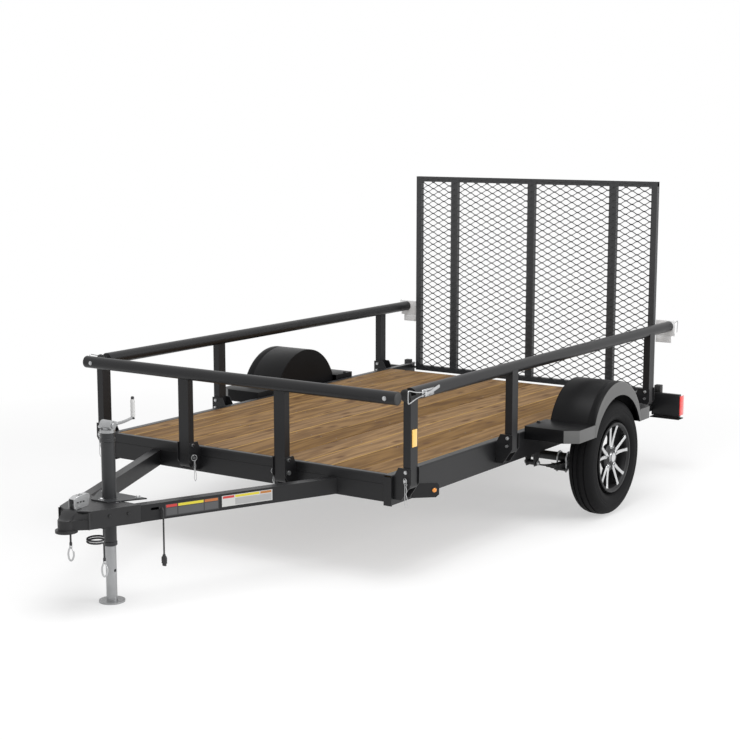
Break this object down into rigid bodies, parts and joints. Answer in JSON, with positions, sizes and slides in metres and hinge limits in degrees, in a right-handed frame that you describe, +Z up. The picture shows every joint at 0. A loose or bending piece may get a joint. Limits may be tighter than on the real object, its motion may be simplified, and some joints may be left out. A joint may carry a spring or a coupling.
{
  "type": "single-axle utility trailer",
  "caption": "Open utility trailer with a plank bed, folding pipe rails, an upright mesh ramp gate, fendered wheels, an A-frame tongue with a ball coupler and a screw jack.",
  "frame": {"origin": "on the floor under the middle of the trailer's overall box", "axes": "+X to the left side of travel, +Y back from the coupler to the gate, +Z up"},
  "size_m": [2.443, 4.317, 1.809],
  "materials": {
    "frame_paint": "satin powder coat",
    "deck_wood": "treated softwood planks",
    "zinc_plate": "bright zinc plate",
    "pale_grip": "bright plated crank with a pale sleeve",
    "tyre_rubber": "matt rubber",
    "cast_alloy": "machined and painted",
    "hub_steel": "plain",
    "fender_paint": "satin",
    "mesh_paint": "satin",
    "red_lens": "moulded lens",
    "amber_lens": "moulded lens",
    "cable_sheath": "coated wire cable",
    "lead_rubber": "flexible lead"
  },
  "bodies": {
    "trailer": {"frame_side_left": "frame_paint", "frame_side_right": "frame_paint", "frame_front": "frame_paint", "frame_rear": "frame_paint", "crossmembers": "frame_paint", "deck_boards": "deck_wood", "tail_apron": "frame_paint", "tongue_left": "frame_paint", "tongue_right": "frame_paint", "coupler": "frame_paint", "coupler_latch": "zinc_plate", "jack_tube": "frame_paint", "jack_head": "zinc_plate", "jack_crank": "pale_grip", "axle": "frame_paint", "springs": "frame_paint", "fender_left": "fender_paint", "fender_right": "fender_paint", "post_brackets": "frame_paint", "rail_pins": "zinc_plate", "tail_lights": "red_lens", "marker_lights": "amber_lens", "cable_left": "cable_sheath", "coil_left": "cable_sheath", "hook_left": "zinc_plate", "cable_right": "cable_sheath", "hook_right": "zinc_plate", "lead_grommet": "lead_rubber", "lead": "lead_rubber", "plug": "lead_rubber"},
    "jack_leg": {"jack_leg": "zinc_plate"},
    "wheel_left": {"hub_left": "hub_steel", "rim_left": "cast_alloy", "tyre_left": "tyre_rubber"},
    "wheel_right": {"hub_right": "hub_steel", "rim_right": "cast_alloy", "tyre_right": "tyre_rubber"},
    "front_rail": {"front_rail": "frame_paint"},
    "rail_left": {"rail_left": "frame_paint", "latches_left": "zinc_plate"},
    "rail_right": {"rail_right": "frame_paint", "latches_right": "zinc_plate"},
    "gate": {"gate_frame": "frame_paint", "gate_mesh": "mesh_paint"}
  },
  "joints": [
    {"name": "wheel_left_spin", "type": "hinge", "parent": "trailer", "child": "wheel_left", "pos_m": [1.1195, 0.926, 0.3245], "axis": [1, 0, 0], "continuous": true},
    {"name": "wheel_right_spin", "type": "hinge", "parent": "trailer", "child": "wheel_right", "pos_m": [-1.1195, 0.926, 0.3245], "axis": [1, 0, 0], "continuous": true},
    {"name": "gate_hinge", "type": "hinge", "parent": "trailer", "child": "gate", "pos_m": [0, 2.127, 0.493], "axis": [-1, 0, 0], "range_deg": [0, 111]},
    {"name": "rail_left_fold", "type": "hinge", "parent": "trailer", "child": "rail_left", "pos_m": [0.985, 0.641, 0.51], "axis": [0, 1, 0], "range_deg": [0, 90]},
    {"name": "rail_right_fold", "type": "hinge", "parent": "trailer", "child": "rail_right", "pos_m": [-0.985, 0.641, 0.51], "axis": [0, -1, 0], "range_deg": [0, 90]},
    {"name": "front_rail_fold", "type": "hinge", "parent": "trailer", "child": "front_rail", "pos_m": [0, -0.949, 0.481], "axis": [1, 0, 0], "range_deg": [0, 84]},
    {"name": "jack_slide", "type": "slide", "parent": "trailer", "child": "jack_leg", "axis": [0, 0, 1], "range_m": [0, 0.2]}
  ]
}
